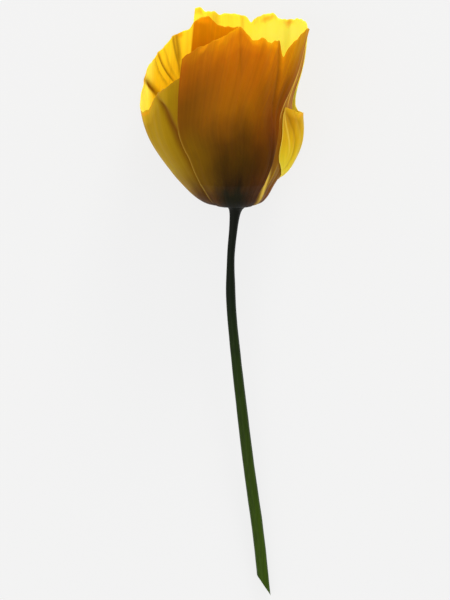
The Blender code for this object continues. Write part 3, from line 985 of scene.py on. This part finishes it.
def pistil_skin(turn, share):
    """A point of the pod, or above LID_FROM of its lid, where the rays stand out."""
    height = float(curve_value(PISTIL_HEIGHT, share))
    radius = float(curve_value(PISTIL_RADIUS, share))
    ray = math.cos(STIGMA_RAYS * turn)
    lid = min(max((share - LID_FROM) / LID_EASE, 0), 1)
    swell = (1 - lid) * POD_RIB + lid * RAY_SPREAD
    on_top = min(max((share - RIDGE_FROM) / RIDGE_EASE, 0), 1)
    ridge = RAY_RIDGE * on_top * max(ray, 0) ** 2 * min(radius / RIDGE_TAPER, 1)
    radius *= 1 + swell * ray
    return in_head(radius * math.cos(turn), height + ridge, radius * math.sin(turn))


pistil = roll_tube("pistil_pod", PISTIL_SIDES, PISTIL_STEPS, pistil_skin)
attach(pistil, "root")
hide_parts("pistil")

pod_green, tree, shader = new_finish("pod_green", roughness=0.6, gloss=0.25)
place = add_node(tree, "ShaderNodeUVMap")
split = add_node(tree, "ShaderNodeSeparateXYZ", {"Vector": place.outputs["UV"]})
ray_angle = add_math(tree, "MULTIPLY", split.outputs["X"], 2 * math.pi * STIGMA_RAYS)
ray_wave = add_node(tree, "ShaderNodeMath", {0: ray_angle}, operation="COSINE")
on_ray = add_step(tree, ray_wave.outputs[0], 0.1, 0.8)
pod = add_ramp(tree, split.outputs["Y"], (
    (0.0, tint(120, 130, 50)), (0.2, tint(112, 132, 44)), (0.5, tint(128, 146, 54)),
    (0.66, tint(150, 156, 66)),
))
lid_hollow = add_ramp(tree, split.outputs["Y"], ((0.7, tint(150, 150, 60)), (1.0, tint(120, 124, 40))))
lid_ray = add_ramp(tree, split.outputs["Y"], ((0.7, tint(196, 182, 84)), (1.0, tint(228, 208, 110))))
lid_colour = mix_colours(tree, lid_hollow, lid_ray, on_ray)
is_lid = add_node(tree, "ShaderNodeMapRange", {
    "Value": split.outputs["Y"], "From Min": LID_FROM, "From Max": LID_FROM + 0.03,
})
pod_skin = mix_colours(tree, pod, lid_colour, is_lid.outputs["Result"])
velvet = add_node(tree, "ShaderNodeGroup", node_tree=fibres)
tree.links.new(place.outputs["UV"], velvet.inputs["Vector"])
velvet.inputs["Stretch"].default_value = (150, 30, 1)
velvet.inputs["Contrast"].default_value = 0.7
pod_skin = mix_colours(tree, pod_skin, velvet.outputs["Tone"], 1.0, "MULTIPLY")
tree.links.new(pod_skin, shader.inputs["Base Color"])
nap = add_node(tree, "ShaderNodeBump", {
    "Strength": 0.5, "Distance": 0.0001, "Height": velvet.outputs["Height"],
})
tree.links.new(nap.outputs["Normal"], shader.inputs["Normal"])
pistil.data.materials.append(pod_green)


# ---------------------------------------------------------------------------------------
# The stamens. A crowd of them round the pistil, each a fine pale thread with a two-lobed
# golden anther, rough with pollen, on its end. One is made, and then copied and bent.
# The rings are (count, radius at the foot, radius at the tip, length), in millimetres; the
# filling ones stand between the others, and are joined.
STAMEN_RINGS = ((10, 1.65, 5.0, 11.6), (13, 2.05, 6.9, 10.2), (15, 2.42, 8.6, 8.4))
FILLING_RINGS = ((9, 1.75, 4.3, 10.6), (13, 2.1, 6.0, 9.3), (16, 2.35, 7.7, 8.0), (18, 2.55, 9.0, 6.4))
STAMEN_FOOT = -0.3
STAMEN_MODEL_LENGTH = 10.0
ANTHER_SHARE = 0.18
FILAMENT_RADIUS = (0.17, 0.10)
ANTHER_RADIUS = 0.5
ANTHER_FLATNESS = 0.75
ANTHER_GROOVE_DEPTH = 0.3
ANTHER_GROOVE_WIDTH = 0.35
ANTHER_SWELL = ((0, 0.2), (0.1, 0.55), (0.35, 1.0), (0.7, 0.95), (0.92, 0.6), (1.0, 0.15))
STAMEN_SIDES = 10
STAMEN_STEPS = 18
STAMEN_CROWDING = 0.75
STAMEN_BOW = 0.25
BOWS_ROUND = 7
RING_TWIST = 0.01
REACH_SPREAD = 0.9
FILLING_TWIST = 0.07
FILLING_REACH_SPREAD = 0.8
FILLING_TIP_SPREAD = 0.5
FILLING_TIP_STEP = 2.3
POLLEN_GRAINS = 9000.0
GOLDEN_ANGLE = math.radians(137.5)


def stamen_skin(turn, share):
    """A point of one straight stamen, which stands on the origin along Y."""
    stretched = share**STAMEN_CROWDING
    anther_from = 1 - ANTHER_SHARE
    if stretched < anther_from:
        low, high = FILAMENT_RADIUS
        across = along = low + (high - low) * stretched / anther_from
    else:
        swell = float(curve_value(ANTHER_SWELL, (stretched - anther_from) / ANTHER_SHARE))
        groove = 1 - ANTHER_GROOVE_DEPTH * math.exp(-((math.cos(turn) / ANTHER_GROOVE_WIDTH) ** 2))
        across = ANTHER_RADIUS * swell * groove
        along = ANTHER_FLATNESS * across
    return Vector((
        across * math.cos(turn), STAMEN_MODEL_LENGTH * stretched, along * math.sin(turn),
    )) * MM


def bend_stamen(name, turn, foot, tip, reach):
    """A copy of the straight stamen, leaning out from the axis at the azimuth `turn`."""
    copy = bpy.data.objects.new(name, stamen_model.data.copy())
    bpy.context.scene.collection.objects.link(copy)
    outward = Vector((math.cos(turn), 0, math.sin(turn)))
    sideways = Vector((-math.sin(turn), 0, math.cos(turn)))

    def centre(share):
        lean = foot + (tip - foot) * math.sin(share * math.pi / 2)
        bow = STAMEN_BOW * math.sin(share * math.pi) * math.sin(BOWS_ROUND * turn)
        return outward * lean + sideways * bow + Vector((0, STAMEN_FOOT + reach * share, 0))

    for vertex in copy.data.vertices:
        share = vertex.co.y / (STAMEN_MODEL_LENGTH * MM)
        heading = (centre(share + 0.02) - centre(share - 0.02)).normalized()
        normal = heading.cross(sideways)
        point = centre(share) + (vertex.co.x * sideways + vertex.co.z * normal) / MM
        vertex.co = in_head(*point)
    return copy


stamen_model = roll_tube("stamen_model", STAMEN_SIDES, STAMEN_STEPS, stamen_skin)
pollen_gold, tree, shader = new_finish("pollen_gold", roughness=0.75, gloss=0.2)
place = add_node(tree, "ShaderNodeUVMap")
split = add_node(tree, "ShaderNodeSeparateXYZ", {"Vector": place.outputs["UV"]})
stamen_paint = add_ramp(tree, split.outputs["Y"], (
    (0.0, tint(150, 160, 50)), (0.5, tint(214, 204, 96)), (0.74, tint(226, 206, 90)),
    (0.79, tint(238, 180, 34)), (1.0, tint(250, 206, 60)),
))
where = add_node(tree, "ShaderNodeTexCoord")
grains = add_node(tree, "ShaderNodeTexVoronoi", {"Vector": where.outputs["Object"], "Scale": POLLEN_GRAINS})
grain_tone = add_ramp(tree, grains.outputs["Distance"], ((0.0, (1.1, 1.1, 1.1)), (0.8, (0.7, 0.62, 0.5))))
dusty = mix_colours(tree, stamen_paint, grain_tone, 1.0, "MULTIPLY")
tree.links.new(dusty, shader.inputs["Base Color"])
pimples = add_node(tree, "ShaderNodeBump", {
    "Strength": 0.6, "Distance": 0.00006, "Height": grains.outputs["Distance"],
}, invert=True)
tree.links.new(pimples.outputs["Normal"], shader.inputs["Normal"])
stamen_model.data.materials.append(pollen_gold)

number = 0
for count, foot, tip, length in STAMEN_RINGS:
    for k in range(count):
        number += 1
        turn = 2 * math.pi * k / count + number * RING_TWIST + foot
        reach = length + REACH_SPREAD * math.sin(number * GOLDEN_ANGLE)
        stamen = bend_stamen(f"stamen_thread_{number:02d}", turn, foot, tip, reach)
        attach(stamen, "root")
        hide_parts(f"stamen_{number:02d}")

fillers = []
for count, foot, tip, length in FILLING_RINGS:
    for k in range(count):
        number += 1
        turn = 2 * math.pi * (k + 0.5) / count + number * FILLING_TWIST
        reach = length + FILLING_REACH_SPREAD * math.sin(number * GOLDEN_ANGLE)
        tip_here = tip + FILLING_TIP_SPREAD * math.sin(number * FILLING_TIP_STEP)
        fillers.append(bend_stamen(f"stamen_filler_{number}", turn, foot, tip_here, reach))
bpy.data.objects.remove(stamen_model)
bpy.ops.object.select_all(action="DESELECT")
for filler in fillers:
    filler.select_set(True)
bpy.context.view_layer.objects.active = fillers[0]
bpy.ops.object.join()
stamen_filling = bpy.context.object
stamen_filling.name = "stamen_filling"
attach(stamen_filling, "root")
